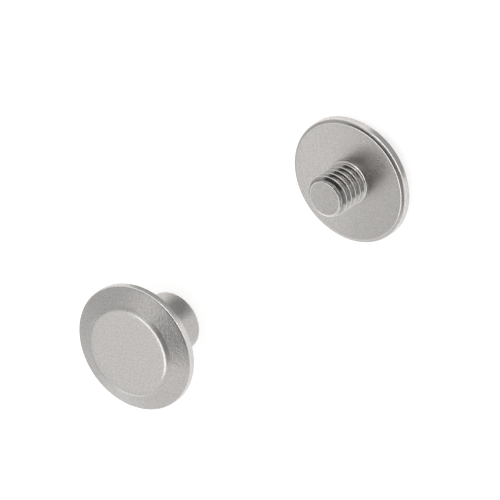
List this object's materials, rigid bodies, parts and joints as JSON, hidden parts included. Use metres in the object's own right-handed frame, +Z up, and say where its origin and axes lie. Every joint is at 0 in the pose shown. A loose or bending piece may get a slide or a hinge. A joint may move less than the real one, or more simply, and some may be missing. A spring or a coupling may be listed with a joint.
{
  "type": "chicago screw",
  "caption": "Turned fastener: a flanged barrel nut with a blind threaded post, and a short machine screw with a matching low stepped head, shown taken apart.",
  "frame": {"origin": "on the surface that both pieces stand on, midway between the two upright axes", "axes": "+Z up along both pieces' axes; the pieces stand in a row along Y, the barrel nut at +Y on the end of its barrel and the screw at -Y on its head"},
  "size_m": [0.012, 0.0412, 0.0072],
  "materials": {
    "blasted_nut": "bead-blasted head, smooth turned barrel",
    "turned_screw": "fine satin turned, bright thread"
  },
  "bodies": {
    "root": {"barrel_nut": "blasted_nut", "screw": "turned_screw"}
  },
  "joints": []
}
